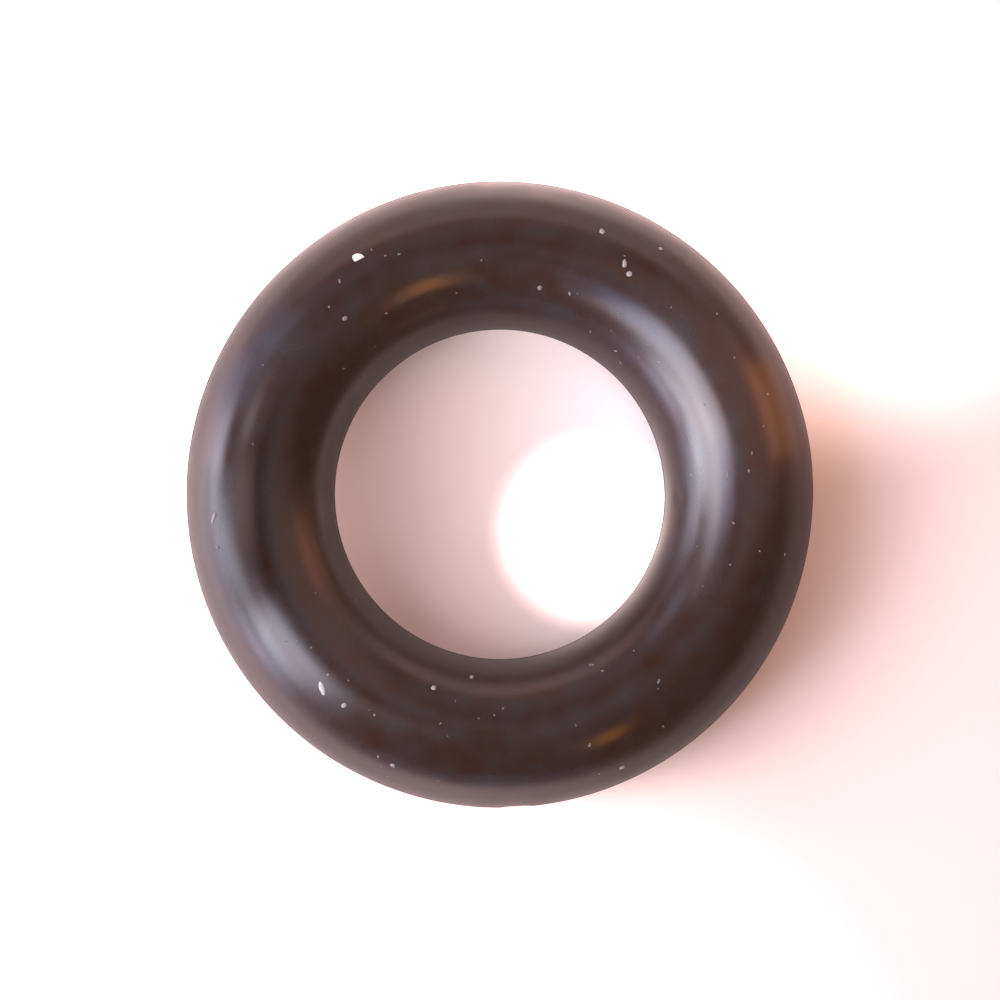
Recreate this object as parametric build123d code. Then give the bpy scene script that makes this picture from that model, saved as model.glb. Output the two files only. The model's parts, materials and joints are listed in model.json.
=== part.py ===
"""A small moulded rubber O-ring: one solid of revolution about +Z, with its centre at the origin.

The section is a circle. Where the two mould halves meet, at the section's innermost and outermost
points, trimming the flash leaves a low, flat-topped mould line that runs all the way round.
"""

from build123d import *

import os
from math import radians, sqrt, tan

# Driving dimensions, in millimetres and degrees
bore_diameter = 4.5  # inside diameter, measured on the round section
section_diameter = 2.0  # thickness of the rubber
line_height = 0.01  # how far the trimmed mould line stands proud of the round section
line_width = 0.08  # width of its flat crest, along the ring's axis
line_flank_angle = 45.0  # slope of its two flanks, away from the radial direction

# Worked out from the driving dimensions
section_radius = section_diameter / 2
centreline_radius = bore_diameter / 2 + section_radius
crest_half_width = line_width / 2
crest_reach = section_radius + line_height
root_half_width = crest_half_width + line_height * tan(radians(line_flank_angle))
root_reach = sqrt(section_radius**2 - root_half_width**2)


def mould_line(side):
    """The mould line's outline on the outer (+1) or inner (-1) side of the section, from the top down."""
    return Polyline(
        (side * root_reach, root_half_width),
        (side * crest_reach, crest_half_width),
        (side * crest_reach, -crest_half_width),
        (side * root_reach, -root_half_width),
    )


def section_face():
    """The section where the ring crosses the XZ plane on its +X side: two arcs between the mould lines."""
    outer = mould_line(1)
    inner = mould_line(-1)
    top = ThreePointArc(outer @ 0, (0, section_radius), inner @ 0)
    bottom = ThreePointArc(outer @ 1, (0, -section_radius), inner @ 1)
    outline = make_face([outer, bottom, inner, top])
    return Plane.XZ * Pos(centreline_radius, 0) * outline


def o_ring():
    """The whole ring: its section turned once round the axis."""
    return revolve(section_face(), Axis.Z)


os.makedirs("parts", exist_ok=True)
ring = o_ring()
export_step(ring, "parts/o_ring.step")
print("o_ring", ring.bounding_box().size, "volume", round(ring.volume, 3), "mm3")
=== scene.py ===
# %% [markdown]
# # Dressing a small rubber O-ring
#
# An O-ring is one of the plainest machine parts there is: a ring of rubber with a round section. A plain
# form hides nothing, so its look rests on a few quiet things. They are the way soft light runs round the
# section, the faint bloom on the rubber's skin, the mould line, and the dust that rubber always picks up.
#
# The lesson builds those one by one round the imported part, which is loaded first and never moved.

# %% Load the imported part
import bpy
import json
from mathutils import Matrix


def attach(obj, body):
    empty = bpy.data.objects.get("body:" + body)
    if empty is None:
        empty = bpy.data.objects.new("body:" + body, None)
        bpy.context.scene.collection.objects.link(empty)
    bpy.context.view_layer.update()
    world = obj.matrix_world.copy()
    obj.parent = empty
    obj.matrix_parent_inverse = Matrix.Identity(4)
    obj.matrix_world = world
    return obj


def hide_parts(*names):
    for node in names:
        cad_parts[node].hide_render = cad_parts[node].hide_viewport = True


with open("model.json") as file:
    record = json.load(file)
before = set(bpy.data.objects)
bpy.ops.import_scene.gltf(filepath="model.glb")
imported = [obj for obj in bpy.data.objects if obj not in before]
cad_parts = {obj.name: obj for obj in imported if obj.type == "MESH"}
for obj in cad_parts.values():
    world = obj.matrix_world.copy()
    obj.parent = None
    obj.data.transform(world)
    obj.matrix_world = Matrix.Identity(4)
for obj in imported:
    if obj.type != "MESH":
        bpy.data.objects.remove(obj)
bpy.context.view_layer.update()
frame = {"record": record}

# %% [markdown]
# ## The ring's own sizes
#
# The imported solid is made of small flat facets, so its box is a hair smaller than the real ring. The mounts
# in the record are exact, and they say all that is needed. The crown's point gives the centreline's radius
# and the section's radius, and the wall that meets the housing gives how far the mould line stands proud.

# %% Read the ring's sizes from its mounts
MM = 0.001

mounts = {mount["name"]: mount for mount in frame["record"]["mounts"]}
crown = mounts["upper_crown"]["pos_m"]
centreline_radius = crown[0]
section_radius = crown[2]
line_reach = mounts["gland_wall"]["dims"]["r_mm"] * MM
line_height = line_reach - centreline_radius - section_radius
line_width = mounts["gland_wall"]["dims"]["length_mm"] * MM
floor_level = -section_radius
print("centreline radius", centreline_radius, "section radius", section_radius)
print("mould line: height", round(line_height, 8), "width", line_width)

# %% [markdown]
# ## The camera
#
# The ring is seen from straight above, as in a parts catalogue, so its bore and its outside read as two
# true circles. A wide lens close to the ring would see more of the bore's wall and less of the outside. A
# long lens from 120 mm away keeps the perspective mild. The camera stands a touch to one side of the axis,
# which places the ring in the frame without shifting the lens.

# %% Place the camera over the ring
import bpy

camera_height = 120 * MM
camera_off_axis = (0.004 * MM, -0.077 * MM)
frame_width = 13.60 * MM  # how much of the ring's middle plane the picture spans
sensor_width = 36.0  # in millimetres, as Blender states it
nearest_seen = 1 * MM
farthest_seen = 10.0


def make_camera():
    """A camera that looks straight down at the ring, with +Y at the top of the picture."""
    data = bpy.data.cameras.new("catalogue_camera")
    data.sensor_width = sensor_width
    data.lens = sensor_width * camera_height / frame_width
    data.clip_start = nearest_seen
    data.clip_end = farthest_seen
    camera = bpy.data.objects.new("catalogue_camera", data)
    camera.location = (*camera_off_axis, camera_height)
    bpy.context.scene.collection.objects.link(camera)
    bpy.context.scene.camera = camera
    return camera


camera = make_camera()
print("lens", round(camera.data.lens, 1), "mm, from", round(camera_height / MM, 1), "mm above")

# %% [markdown]
# ## How colours are shown
#
# Black rubber lives in the darkest tones. Blender's usual film-like view bends every tone, to make room for
# very bright ones. The standard view shows each colour just as the materials and the lights make it, so a
# value chosen below can be judged by eye.

# %% Choose the plain view
view = bpy.context.scene.view_settings
view.view_transform = "Standard"
view.look = "None"
print("view:", view.view_transform, "look:", view.look)

# %% [markdown]
# ## The floor
#
# The ring lies on a plain pale floor. On dark rubber the floor matters twice over: it is the ground behind
# the ring, and it is what the steep sides of the section mirror, as the pale rim that draws the outline.
# One flat sheet does it, so wide beside the ring that its edges never show in the rubber.

# %% Lay the floor
floor_colour = (0.86, 0.72, 0.68, 1.0)
floor_roughness = 0.4
floor_half_width = 0.6


def plain_material(name, colour, roughness):
    """A material with one colour and one roughness, for what only has to be plain."""
    material = bpy.data.materials.new(name)
    material.use_nodes = True
    shader = material.node_tree.nodes["Principled BSDF"]
    shader.inputs["Base Color"].default_value = colour
    shader.inputs["Roughness"].default_value = roughness
    return material


def make_sheet(name, low, high, height, material):
    """A level rectangle between two corners, at a height. It is not attached to any body of the part."""
    corners = [(low[0], low[1]), (high[0], low[1]), (high[0], high[1]), (low[0], high[1])]
    mesh = bpy.data.meshes.new(name)
    mesh.from_pydata([(x, y, height) for x, y in corners], [], [(0, 1, 2, 3)])
    mesh.materials.append(material)
    sheet = bpy.data.objects.new(name, mesh)
    bpy.context.scene.collection.objects.link(sheet)
    return sheet


floor_low = (-floor_half_width, -floor_half_width)
floor_high = (floor_half_width, floor_half_width)
pale_floor = plain_material("pale_floor", floor_colour, floor_roughness)
floor = make_sheet("floor", floor_low, floor_high, floor_level, pale_floor)
print("floor at", round(floor.data.vertices[0].co.z / MM, 3), "mm, as low as the ring reaches")

# %% [markdown]
# ## Helpers for nodes
#
# A material or a light in Blender is a graph of small nodes, which are usually dragged and linked by hand.
# Written out in code, each node takes four or five lines. So each helper below makes one node and gives
# back its output. A chain of them then reads like ordinary arithmetic on fields, which are values that
# differ from point to point.

# %% Join nodes with small helpers
def feed(tree, socket, value):
    """Set an input to a plain value, or link it to the output of another node."""
    if isinstance(value, bpy.types.NodeSocket):
        tree.links.new(value, socket)
    else:
        socket.default_value = value


def add_math(tree, operation, *values):
    """A sum, a product or another step of arithmetic, on plain values and fields."""
    node = tree.nodes.new("ShaderNodeMath")
    node.operation = operation
    for socket, value in zip(node.inputs, values):
        feed(tree, socket, value)
    return node.outputs["Value"]


def add_vector_math(tree, operation, first, second):
    """A step of arithmetic on two places or directions, which gives one number."""
    node = tree.nodes.new("ShaderNodeVectorMath")
    node.operation = operation
    feed(tree, node.inputs[0], first)
    feed(tree, node.inputs[1], second)
    return node.outputs["Value"]


def add_range(tree, field, low, high, to_low=0.0, to_high=1.0, kind="LINEAR"):
    """The field's values from low to high, spread over a new range and held at its ends."""
    node = tree.nodes.new("ShaderNodeMapRange")
    node.interpolation_type = kind
    feed(tree, node.inputs["Value"], field)
    feed(tree, node.inputs["From Min"], low)
    feed(tree, node.inputs["From Max"], high)
    feed(tree, node.inputs["To Min"], to_low)
    feed(tree, node.inputs["To Max"], to_high)
    return node.outputs["Result"]


def add_place(tree):
    """Where each point of the surface is, in the object's own metres."""
    return tree.nodes.new("ShaderNodeTexCoord").outputs["Object"]


node_helpers = (feed, add_math, add_vector_math, add_range, add_place)
print("node helpers:", [helper.__name__ for helper in node_helpers])

# %% [markdown]
# ## A glow from below
#
# Small black parts are often shown on opal acrylic that is lit from underneath, because light from above
# leaves their lower walls black. The glow on each side sets how pale the ring's rim is there. Real lamps
# under a translucent sheet would do it, but they render slowly and leave grain. So the floor's own surface
# gives the light off, brightest over the place of each lamp and fading with the distance from it.

# %% Let the floor glow
# Each lamp under the floor: its place in mm, how far its light reaches in mm, and its brightness.
lamps_below = [
    (0.5, 6.3, 4.5, 5.0),
    (4.8, 4.0, 4.0, 2.5),
    (-4.5, 4.7, 4.0, 1.9),
    (-2.8, 4.6, 2.5, 2.6),
    (0.0, 5.3, 2.5, 1.0),
    (2.8, 4.5, 2.5, 1.2),
    (-10.0, -1.0, 9.0, 4.0),
    (-2.0, -10.5, 9.0, 3.0),
    (1.25, -0.5, 1.5, 5.8),
]
glow_colour = (1.0, 0.72, 0.70, 1.0)


def light_from_below(material):
    """Let the material glow over each lamp, where what the lamps give adds up."""
    tree = material.node_tree
    shader = tree.nodes["Principled BSDF"]
    place = add_place(tree)
    glow = 0.0
    for x, y, reach, brightness in lamps_below:
        distance = add_vector_math(tree, "DISTANCE", place, (x * MM, y * MM, floor_level))
        fade = add_range(tree, distance, 0.0, reach * MM, brightness, 0.0, "SMOOTHSTEP")
        glow = add_math(tree, "ADD", fade, glow)
    feed(tree, shader.inputs["Emission Strength"], glow)
    feed(tree, shader.inputs["Emission Color"], glow_colour)


light_from_below(pale_floor)
print("lamps under the floor:", len(lamps_below))

# %% [markdown]
# ## The room
#
# A studio is never quite dark: walls and ceiling send back a little of every light. Where the rubber
# mirrors no lamp it mirrors the room, so the room sets the tone of the ring's darkest parts. Walls could be
# built, but an even world colour gives the same tone. It is warm, and dim enough to leave the rubber black.

# %% Give the room its tone
room_colour = (1.0, 0.69, 0.52, 1.0)
room_brightness = 0.36

world = bpy.data.worlds.new("room")
world.use_nodes = True
bpy.context.scene.world = world
background = world.node_tree.nodes["Background"]
background.inputs["Color"].default_value = room_colour
background.inputs["Strength"].default_value = room_brightness
print("room brightness", room_brightness)

# %% [markdown]
# ## Lights with soft edges
#
# Glossy black rubber shows its lights more than itself, so a light's outline matters as much as its power.
# A diffuser is bright in the middle and fades out at its edges. A plain area light would leave a hard-edged
# rectangle in the rubber, and a blurred picture on a card would need an image. So the light's own nodes
# fade it out: they fold its width and its height about the middle, and let each edge rise from zero.

# %% Make a light that fades at its edges
from math import pi

middle = 0.5  # as a share of the light's width or height


def fade_edges(data, feather):
    """Let the light's face fade out over a share of its width and height at each edge."""
    data.use_nodes = True
    tree = data.node_tree
    face = tree.nodes.new("ShaderNodeNewGeometry")
    split = tree.nodes.new("ShaderNodeSeparateXYZ")
    feed(tree, split.inputs["Vector"], face.outputs["Parametric"])
    shares = []
    for side in ("X", "Y"):
        from_edge = add_math(tree, "PINGPONG", split.outputs[side], middle)
        shares.append(add_range(tree, from_edge, 0.0, feather, kind="SMOOTHSTEP"))
    feed(tree, tree.nodes["Emission"].inputs["Strength"], add_math(tree, "MULTIPLY", *shares))


def soft_light(name, width, height, brightness, colour, feather):
    """A rectangular light that the camera doesn't see. A brightness of 1 is that of lit white paper."""
    data = bpy.data.lights.new(name, "AREA")
    data.shape = "RECTANGLE"
    data.size = width
    data.size_y = height
    data.energy = brightness * pi * data.size * data.size_y
    data.color = colour
    fade_edges(data, feather)
    light = bpy.data.objects.new(name, data)
    light.visible_camera = False
    bpy.context.scene.collection.objects.link(light)
    return light


print("light helpers:", [helper.__name__ for helper in (fade_edges, soft_light)])

# %% [markdown]
# ## The far panels
#
# The large lights stand well away, all at the same distance, as panels and window light do in a studio. It
# is easiest to think of each as the ring sees it: on which side it stands, how high above the table, and
# how wide and tall it looks. Those are angles, so they can be judged from a reflection. Seen from straight
# above, skin that leans by some angle mirrors what stands at twice that angle from overhead.

# %% Hang the far panels
from math import cos, radians, sin, tan
from mathutils import Quaternion, Vector

panel_distance = 80 * MM


def soft_panel(name, bearing, lift, wide, tall, brightness, colour, feather=0.3, roll=0):
    """A far light that faces the ring. Bearing, lift, wide, tall and roll are in degrees."""
    width = 2 * panel_distance * tan(radians(wide / 2))
    height = 2 * panel_distance * tan(radians(tall / 2))
    panel = soft_light(name, width, height, brightness, colour, feather)
    away = Vector((
        cos(radians(lift)) * cos(radians(bearing)),
        cos(radians(lift)) * sin(radians(bearing)),
        sin(radians(lift)),
    ))
    panel.location = away * panel_distance
    upright = away.to_track_quat("Z", "Y")
    panel.rotation_euler = (upright @ Quaternion((0, 0, 1), radians(roll))).to_euler()
    return panel


panels = [
    soft_panel("window", 191, 45, 36, 54, 6.3, (1.0, 0.90, 0.97), roll=15),
    soft_panel("window_top", 211, 65, 28, 42, 3.2, (0.67, 0.85, 1.0), feather=0.4, roll=15),
    soft_panel("window_foot", 192, 34, 26, 34, 10.6, (0.74, 0.85, 1.0), feather=0.4),
    soft_panel("low_window", 182, 15, 46, 38, 11.4, (0.78, 0.80, 1.0), feather=0.4),
    soft_panel("left_middle", 148, 38, 26, 26, 1.8, (0.73, 0.75, 1.0), feather=0.4),
    soft_panel("front_left", 214, 34, 20, 34, 12.2, (0.77, 0.82, 1.0), feather=0.4, roll=10),
    soft_panel("low_front_left", 212, 10, 24, 30, 10.2, (0.77, 0.75, 1.0), feather=0.4),
    soft_panel("back_left", 140, 40, 36, 50, 0.36, (0.10, 0.58, 1.0), feather=0.4),
    soft_panel("orange_card", 18, 17, 21, 50, 1.4, (1.0, 0.30, 0.10), feather=0.05),
    soft_panel("red_card", 25, 45, 50, 80, 1.0, (1.0, 0.59, 0.54)),
    soft_panel("back_low", 90, 14, 110, 40, 1.56, (1.0, 0.69, 0.72)),
    soft_panel("back_middle", 90, 30, 110, 30, 0.34, (1.0, 0.60, 0.60)),
    soft_panel("back_high", 90, 48, 60, 30, 0.4, (0.72, 0.78, 1.0)),
    soft_panel("front_low", 262, 8, 70, 26, 0.56, (0.10, 0.56, 1.0)),
    soft_panel("high_card", 30, 80, 40, 24, 0.62, (0.32, 0.75, 1.0), feather=0.4),
]
print("far panels:", len(panels), "at", round(panel_distance / MM, 1), "mm")

# %% [markdown]
# ## The near cards
#
# A far light shows twice in a ring: on the outer slope that faces it, and across the bore, on the inner
# slope that faces it too. A glint or a patch on one side alone has to come from something small and close
# by. In a studio it is a bright card, stood a few millimetres from the part. Here it is the same soft
# light, but placed by its distance from the ring's axis and its height over the middle plane. A tilt of 0
# faces outwards, 90 faces down, and 180 faces back to the axis.

# %% Stand the near cards
def near_card(name, bearing, reach, height, deep, wide, tilt, brightness, colour, feather):
    """A small light near the ring. Reach, height, deep and wide are in mm, bearing and tilt in degrees."""
    card = soft_light(name, wide * MM, deep * MM, brightness, colour, feather)
    out = Vector((cos(radians(bearing)), sin(radians(bearing)), 0.0))
    down = Vector((0.0, 0.0, -1.0))
    card.location = out * reach * MM - down * height * MM
    face = out * cos(radians(tilt)) + down * sin(radians(tilt))
    card.rotation_euler = (-face).to_track_quat("Z", "Y").to_euler()
    return card


cards = [
    near_card("orange_near", 17.5, 5.2, 0.9, 2.2, 1.9, 180, 1.4, (1.0, 0.40, 0.12), 0.05),
    near_card("crown_card", 30, 2.15, 2.85, 2.6, 2.5, 58, 6.9, (1.0, 0.90, 0.95), 0.3),
    near_card("crown_end", 6, 2.25, 2.85, 2.0, 1.6, 58, 2.8, (0.61, 0.62, 1.0), 0.3),
    near_card("crown_start", 47, 2.3, 2.8, 1.7, 1.8, 58, 1.9, (0.05, 0.36, 1.0), 0.3),
    near_card("left_back", 146, 6.0, 1.5, 2.2, 2.0, 180, 1.4, (0.53, 0.63, 1.0), 0.3),
    near_card("left_low", 158, 6.0, 1.05, 2.5, 1.8, 180, 2.3, (0.66, 0.67, 1.0), 0.3),
    near_card("left_side", 169, 6.0, 1.05, 2.5, 1.8, 180, 3.3, (1.0, 0.88, 0.98), 0.3),
    near_card("left_crown", 180, 4.0, 2.35, 1.8, 2.4, 110, 1.6, (1.0, 0.66, 0.60), 0.45),
    near_card("front_crown", 217, 4.4, 2.35, 1.9, 2.9, 110, 5.0, (0.88, 0.82, 1.0), 0.4),
    near_card("amber_back", 109.5, 1.85, 3.0, 1.3, 0.40, 60, 6.4, (1.0, 0.44, 0.14), 0.3),
    near_card("amber_front", 294, 5.37, 3.0, 1.2, 1.0, 120, 3.6, (1.0, 0.38, 0.03), 0.3),
]
nearest = min(card.location.length for card in cards)
print("near cards:", len(cards), "the nearest", round(nearest / MM, 2), "mm from the ring's centre")

# %% [markdown]
# ## A scrim over the left side
#
# The window panels stand on the left, and there they would wash out the ring's crown as well as its wall.
# In a studio a scrim mends that: black gauze held over the part, which dims what shows through it. This one
# hangs over one side only, dense next to the ring and open farther out. It is a single sheet whose alpha
# falls with the distance from the axis and fades out at both ends of its arc. Woven threads would need far
# more samples to give the same even shade. The camera doesn't see the sheet.

# %% Weave the black gauze
scrim_height = 2.5 * MM
scrim_dense_reach = 4.2 * MM
scrim_dense_cover = 0.86
scrim_open_reach = 12.0 * MM
scrim_bearing = 187
scrim_half_angle = 19
scrim_soft_angle = 4
black = (0.0, 0.0, 0.0, 1.0)
gauze_roughness = 1.0


def make_gauze():
    """Black gauze that covers most next to the ring and nothing farther out or past the ends of its arc."""
    gauze = plain_material("black_scrim", black, gauze_roughness)
    tree = gauze.node_tree
    place = add_place(tree)
    reach = add_vector_math(tree, "DISTANCE", place, (0.0, 0.0, scrim_height))
    cover = add_range(tree, reach, scrim_dense_reach, scrim_open_reach, scrim_dense_cover, 0.0)

    mid_arc = (cos(radians(scrim_bearing)), sin(radians(scrim_bearing)), 0.0)
    turned = add_math(tree, "DIVIDE", add_vector_math(tree, "DOT_PRODUCT", place, mid_arc), reach)
    past_end = cos(radians(scrim_half_angle + scrim_soft_angle))
    before_end = cos(radians(scrim_half_angle - scrim_soft_angle))
    within = add_range(tree, turned, past_end, before_end, kind="SMOOTHSTEP")
    feed(tree, tree.nodes["Principled BSDF"].inputs["Alpha"], add_math(tree, "MULTIPLY", cover, within))
    return gauze


gauze = make_gauze()
print("gauze nodes:", len(gauze.node_tree.nodes))

# %% Hang the scrim
scrim_near_edge = 3.2 * MM
scrim_far_edge = 13.0 * MM
scrim_half_length = 9.0 * MM

scrim_low = (-scrim_far_edge, -scrim_half_length)
scrim_high = (-scrim_near_edge, scrim_half_length)
scrim = make_sheet("scrim", scrim_low, scrim_high, scrim_height, gauze)
scrim.visible_camera = False
print("scrim", round((scrim_height - section_radius) / MM, 2), "mm above the ring's crown")

# %% [markdown]
# ## The ring's section
#
# The solid's facets would show at this range, so a finer ring of the same form stands for it. It could be a
# torus primitive, but that has no mould line. Here a few functions add up to the section's radius at each
# angle, and the rows of points bunch up at the mould lines, where the form is finest.
#
# Rubber also leaves its mould a little uneven. A perfect ring gives highlights with edges as clean as a
# drawing's, so a sum of long, shallow waves goes over the skin. Each wave fits a whole number of times into
# the ring, and so the skin closes without a seam.

# %% Shape the section
import random

SEED = 7
rows = 160
columns = 480
bunching = 0.8  # 0 spaces the rows evenly, and nearly 1 crowds them at the two mould lines
line_flank = line_height  # each flank is as wide as the line is high
wave_height = 0.004 * MM
times_round_ring = range(2, 15)
times_round_section = (0, 1, 2)
wave_shares = (0.4, 1.0)

waves = []
rng = random.Random(SEED)
for around in times_round_ring:
    for across in times_round_section:
        waves.append((around, across, rng.uniform(0, 2 * pi), rng.uniform(*wave_shares)))


def smooth_step(value):
    """0 below 0, 1 above 1, and an even S between them."""
    value = min(1.0, max(0.0, value))
    return value * value * (3 - 2 * value)


def section_angle(row):
    """The angle of a row round the section, from the outermost point, with rows bunched at the lines."""
    even = 2 * pi * row / rows
    return even - bunching * sin(2 * even) / 2


def mould_line(height):
    """How far the mould line stands proud at this height above the ring's middle plane."""
    past_crest = abs(height) - line_width / 2
    return line_height * (1 - smooth_step(past_crest / line_flank))


def waviness(bearing, angle):
    """The slight unevenness of moulded rubber, which breaks up a highlight's edge."""
    total = 0.0
    for around, across, phase, share in waves:
        total += share / around * sin(around * bearing + phase) * cos(across * angle + phase)
    return wave_height * total


print("rows", rows, "columns", columns, "waves", len(waves))

# %% [markdown]
# ## Two marks of use
#
# No ring is without a mark. This one has a nick at the front, where the blade that trimmed the mould line
# slipped and went a little too deep, and a small dent high on the bore's wall. Bump in the material would
# shade them but leave the outline whole. So both are taken out of the section's radius, with edges smooth
# enough for the columns of points to follow.

# %% Mark the ring
from math import exp, hypot

dent_place = (radians(-1), radians(146))  # its bearing, and its angle round the section
dent_width = 0.20 * MM
dent_depth = 0.016 * MM
nick_middle = radians(-87)  # on the outer mould line
nick_half_length = radians(1.6)
nick_end = radians(1.4)
nick_depth = 1.3 * line_height
nick_half_height = 0.10 * MM


def dent(bearing, angle):
    """How deep the small dent is at this point of the skin."""
    radius = centreline_radius + section_radius * cos(angle)
    away = hypot((bearing - dent_place[0]) * radius, (angle - dent_place[1]) * section_radius)
    return dent_depth * exp(-((2 * away / dent_width) ** 2))


def nick(bearing, angle):
    """How deep the trimming blade went in where it slipped, on the outer mould line."""
    along = (nick_half_length + nick_end - abs(bearing - nick_middle)) / nick_end
    up = (nick_half_height - abs(section_radius * sin(angle))) / nick_half_height
    on_outside = cos(angle) > 0
    return nick_depth * smooth_step(along) * smooth_step(2 * up) * on_outside


print("the dent is", round(dent(*dent_place) / MM, 4), "mm deep")
print("the nick is", round(nick(nick_middle, 0) / MM, 4), "mm deep")

# %% [markdown]
# ## The ring
#
# With the section settled, the ring is one closed mesh of four-sided faces. A circle swept by a modifier
# would give the plain round, but its section couldn't change with the bearing, as the waves and the marks
# need. The ring replaces the solid, which is hidden, and rides on the root body. Its finish is the rubber
# mixed below.

# %% Sweep the section into a ring
def ring_point(bearing, angle):
    """A point on the ring's skin: bearing is round the ring, angle is round the section."""
    turn = (bearing + pi) % (2 * pi) - pi  # from half a turn back to half a turn on
    reach = section_radius + mould_line(section_radius * sin(angle)) + waviness(turn, angle)
    reach -= dent(turn, angle) + nick(turn, angle)
    radius = centreline_radius + reach * cos(angle)
    return Vector((radius * cos(bearing), radius * sin(bearing), reach * sin(angle)))


def make_ring():
    """The ring's skin as one closed mesh."""
    points = []
    for column in range(columns):
        bearing = 2 * pi * column / columns
        points += [ring_point(bearing, section_angle(row)) for row in range(rows)]
    faces = []
    for column in range(columns):
        here = column * rows
        there = (column + 1) % columns * rows
        for row in range(rows):
            above = (row + 1) % rows
            faces.append((here + row, there + row, there + above, here + above))
    mesh = bpy.data.meshes.new("rubber_ring")
    mesh.from_pydata(points, [], faces)
    mesh.shade_smooth()
    ring = bpy.data.objects.new("rubber_ring", mesh)
    bpy.context.scene.collection.objects.link(ring)
    return ring


ring = make_ring()
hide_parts("o_ring")
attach(ring, "root")
print("ring faces", len(ring.data.polygons))

# %% [markdown]
# ## The rubber
#
# The rubber is black from soot, and where light gets into it, it is a very dark red-brown. Over the years
# wax creeps out to its skin, as a violet-grey bloom in soft patches, and the mould leaves a satin grain.
# A single colour with an even roughness would look like wet paint. Three fields of noise, each at its own
# real size in metres, give the patches, the mottling and the grain, and they also drive roughness and bump.
#
# Handling polishes the crowns, which are what fingers and tables touch. The walls that face the bore and
# the outside stay dull, so the roughness also rises towards the ring's middle plane.

# %% Define how blotches, blends and bumps are made
def add_noise(tree, blotch, detail):
    """A noise field on the object's own metres, whose blotches are about as wide as the given length."""
    noise = tree.nodes.new("ShaderNodeTexNoise")
    noise.inputs["Scale"].default_value = 1 / blotch
    noise.inputs["Detail"].default_value = detail
    feed(tree, noise.inputs["Vector"], add_place(tree))
    return noise.outputs["Fac"]


def add_sum(tree, first, second, share):
    """The first field plus a share of the second."""
    return add_math(tree, "MULTIPLY_ADD", second, share, first)


def add_blend(tree, share, first, second):
    """A colour that goes from the first to the second as the share goes from 0 to 1."""
    blend = tree.nodes.new("ShaderNodeMix")
    blend.data_type = "RGBA"
    colours = [socket for socket in blend.inputs if socket.type == "RGBA"]
    feed(tree, colours[0], first)
    feed(tree, colours[1], second)
    feed(tree, blend.inputs["Factor"], share)
    return next(socket for socket in blend.outputs if socket.type == "RGBA")


def add_bump(tree, field, height, below=None):
    """A bump of a real height in metres, where the field goes from 0 to 1."""
    bump = tree.nodes.new("ShaderNodeBump")
    bump.inputs["Distance"].default_value = height
    feed(tree, bump.inputs["Height"], field)
    if below:
        feed(tree, bump.inputs["Normal"], below)
    return bump.outputs["Normal"]


print("surface helpers:", [helper.__name__ for helper in (add_noise, add_sum, add_blend, add_bump)])

# %% Mix the rubber
bare_rubber = (0.0232, 0.0068, 0.0040, 1.0)
bloomed_rubber = (0.0208, 0.0136, 0.0146, 1.0)
patch_size = 0.60 * MM
patch_detail = 1.5
mottle_size = 0.26 * MM
mottle_detail = 1.2
grain_size = 0.045 * MM
grain_detail = 1.0
mottle_in_bloom = 0.8
bloom_range = (0.62, 1.20)  # where the bloom starts, and where it is whole
mottle_in_gloss = 0.3
gloss_range = (0.4, 0.9)  # where the blotches are glossiest, and where they are dullest
crown_roughness = (0.20, 0.28)  # the roughness at those two ends
crown_level = 0.85 * MM  # above this level nothing is added to it
wall_level = 0.50 * MM  # below this level all of the walls' dullness is added
wall_dullness = 0.30
mottle_height = 0.0005 * MM
grain_height = 0.0002 * MM


def make_rubber():
    """Dark brown rubber with a patchy grey bloom and a satin grain, duller on the walls."""
    material = bpy.data.materials.new("black_rubber")
    material.use_nodes = True
    tree = material.node_tree
    shader = tree.nodes["Principled BSDF"]
    patches = add_noise(tree, patch_size, patch_detail)
    mottle = add_noise(tree, mottle_size, mottle_detail)
    grain = add_noise(tree, grain_size, grain_detail)

    bloom = add_range(tree, add_sum(tree, patches, mottle, mottle_in_bloom), *bloom_range)
    feed(tree, shader.inputs["Base Color"], add_blend(tree, bloom, bare_rubber, bloomed_rubber))

    blotches = add_sum(tree, patches, mottle, mottle_in_gloss)
    roughness = add_range(tree, blotches, *gloss_range, *crown_roughness)
    split = tree.nodes.new("ShaderNodeSeparateXYZ")
    feed(tree, split.inputs["Vector"], add_place(tree))
    level = add_math(tree, "ABSOLUTE", split.outputs["Z"])
    wall = add_range(tree, level, crown_level, wall_level)
    feed(tree, shader.inputs["Roughness"], add_sum(tree, roughness, wall, wall_dullness))

    skin = add_bump(tree, mottle, mottle_height)
    feed(tree, shader.inputs["Normal"], add_bump(tree, grain, grain_height, below=skin))
    return material


rubber = make_rubber()
ring.data.materials.append(rubber)
print("rubber nodes:", len(rubber.node_tree.nodes))

# %% [markdown]
# ## The dust
#
# Rubber holds a static charge, so it is hardly ever free of dust. A few grains and short fibres are large
# enough to see one by one, and a fine scatter lies between them. Pale dots painted in the rubber's colour
# would lie flat, so each grain is a small lump of its own, half sunk in the skin. They form one mesh, which
# also stores how pale each grain is.

# %% List the grains that catch the eye
from math import acos

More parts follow.
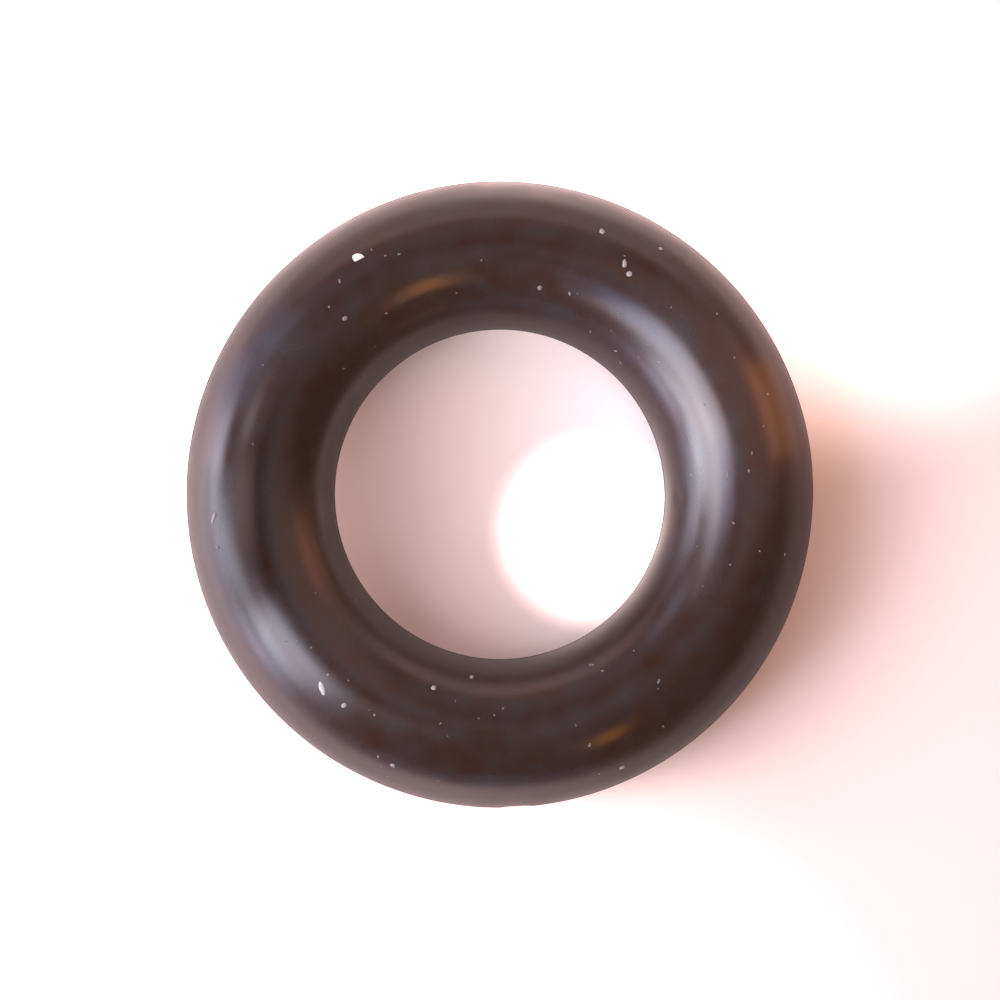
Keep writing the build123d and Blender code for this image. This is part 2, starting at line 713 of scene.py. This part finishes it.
# Each row: bearing round the ring and place across the section (-1 at the bore, 1 outside), then the
# grain's length and width in mm, the direction it points in, its taper, and how pale it is from 0 to 1.
eye_catchers = [
    (120.8, 0.48, 0.165, 0.155, 0, 0.6, 0.90),
    (227.5, 0.30, 0.200, 0.070, 105, 0.0, 0.32),
    (184.7, 0.63, 0.180, 0.055, 60, 0.0, 0.22),
    (61.6, 0.29, 0.130, 0.060, 85, 0.0, 0.25),
    (59.5, 0.20, 0.085, 0.075, 0, 0.0, 0.22),
    (251.2, -0.49, 0.080, 0.070, 40, 0.0, 0.24),
    (68.7, 0.56, 0.085, 0.070, 120, 0.0, 0.25),
    (233.6, 0.29, 0.075, 0.065, 20, 0.0, 0.22),
    (56.8, 0.72, 0.060, 0.055, 0, 0.0, 0.30),
    (261.3, -0.75, 0.070, 0.055, 70, 0.0, 0.20),
    (131.3, -0.09, 0.080, 0.060, 10, 0.0, 0.12),
    (79.0, -0.41, 0.070, 0.060, 50, 0.0, 0.12),
    (294.1, 0.80, 0.080, 0.055, 30, 0.0, 0.25),
    (248.5, 0.69, 0.075, 0.060, 0, 0.0, 0.16),
    (190.6, 0.63, 0.070, 0.055, 0, 0.0, 0.12),
]


def grain_frame(bearing, across, direction):
    """The skin's point at a place on the top side, with axes along the grain, across it and outwards."""
    angle = acos(across)
    turn = radians(bearing)
    point = ring_point(turn, angle)
    outward = Vector((cos(angle) * cos(turn), cos(angle) * sin(turn), sin(angle)))
    heading = Vector((cos(radians(direction)), sin(radians(direction)), 0))
    along = (heading - outward * heading.dot(outward)).normalized()
    return point, along, outward.cross(along), outward


print("large grains:", len(eye_catchers), "the longest", max(grain[2] for grain in eye_catchers), "mm")

# %% Scatter them over the skin
import bmesh

scatter_count = 80
scatter_across = (-0.85, 0.92)
scatter_width = (0.015, 0.035)  # in mm, as the large grains' sizes are
scatter_stretch = (1.0, 2.2)
scatter_paleness = (0.0, 0.15)
thickness_share = 0.55  # of a grain's width
out_of_true = (0.85, 1.15)


def add_grain(mesh, paleness_layer, place, length, width, taper, paleness, dice):
    """One rough lump: a small ball, stretched, tapered to one end and knocked out of true."""
    point, along, side, outward = place
    thickness = thickness_share * width
    lump = bmesh.ops.create_icosphere(mesh, subdivisions=2, radius=0.5)
    for vertex in lump["verts"]:
        x, y, z = vertex.co * dice.uniform(*out_of_true)
        y *= 1 - taper * (x + 0.5)
        vertex.co = point + (along * x * length + side * y * width + outward * z * thickness) * MM
        vertex[paleness_layer] = paleness


def make_dust():
    """All the grains, large and fine, as one mesh."""
    dice = random.Random(SEED)
    mesh = bmesh.new()
    layer = mesh.verts.layers.float.new("paleness")
    for bearing, across, length, width, direction, taper, paleness in eye_catchers:
        place = grain_frame(bearing, across, direction)
        add_grain(mesh, layer, place, length, width, taper, paleness, dice)
    for _ in range(scatter_count):
        place = grain_frame(dice.uniform(0, 360), dice.uniform(*scatter_across), dice.uniform(0, 180))
        width = dice.uniform(*scatter_width)
        length = width * dice.uniform(*scatter_stretch)
        add_grain(mesh, layer, place, length, width, 0.0, dice.uniform(*scatter_paleness), dice)
    data = bpy.data.meshes.new("dust_grains")
    mesh.to_mesh(data)
    mesh.free()
    dust = bpy.data.objects.new("dust_grains", data)
    bpy.context.scene.collection.objects.link(dust)
    return dust


dust = make_dust()
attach(dust, "root")
print("dust faces", len(dust.data.polygons))

# %% [markdown]
# ### The dust's finish
#
# House dust is mineral grit, lint and flakes of skin, all of it dull, and anything from nearly black to
# nearly white. One material for each grain would be nearly a hundred materials. Instead one material reads
# from the mesh how pale each grain is, and a very fine speckle keeps the large ones from looking glazed.

# %% Mix the dust
dark_dust = (0.055, 0.045, 0.045, 1.0)
pale_dust = (0.90, 0.88, 0.88, 1.0)
dust_roughness = 0.9
speckle_size = 0.02 * MM
speckle_detail = 2.0
speckle_range = (0.3, 0.7)
speckle_shift = 0.04  # how much paler or darker the speckle makes a grain


def make_dust_material():
    """Dull dust, from dark to nearly white by the paleness stored in the mesh."""
    material = plain_material("pale_dust", pale_dust, dust_roughness)
    tree = material.node_tree
    stored = tree.nodes.new("ShaderNodeAttribute")
    stored.attribute_name = "paleness"
    speckle = add_noise(tree, speckle_size, speckle_detail)
    shift = add_range(tree, speckle, *speckle_range, -speckle_shift, speckle_shift)
    uneven = add_sum(tree, stored.outputs["Fac"], shift, 1.0)
    shader = tree.nodes["Principled BSDF"]
    feed(tree, shader.inputs["Base Color"], add_blend(tree, uneven, dark_dust, pale_dust))
    return material


dust_finish = make_dust_material()
dust.data.materials.append(dust_finish)
print("dust nodes:", len(dust_finish.node_tree.nodes))

# %% [markdown]
# ## The sizes, and the end
#
# A dressed part has to keep the size of the imported one, or it no longer fits what it is bought for.

# %% Finish
import json
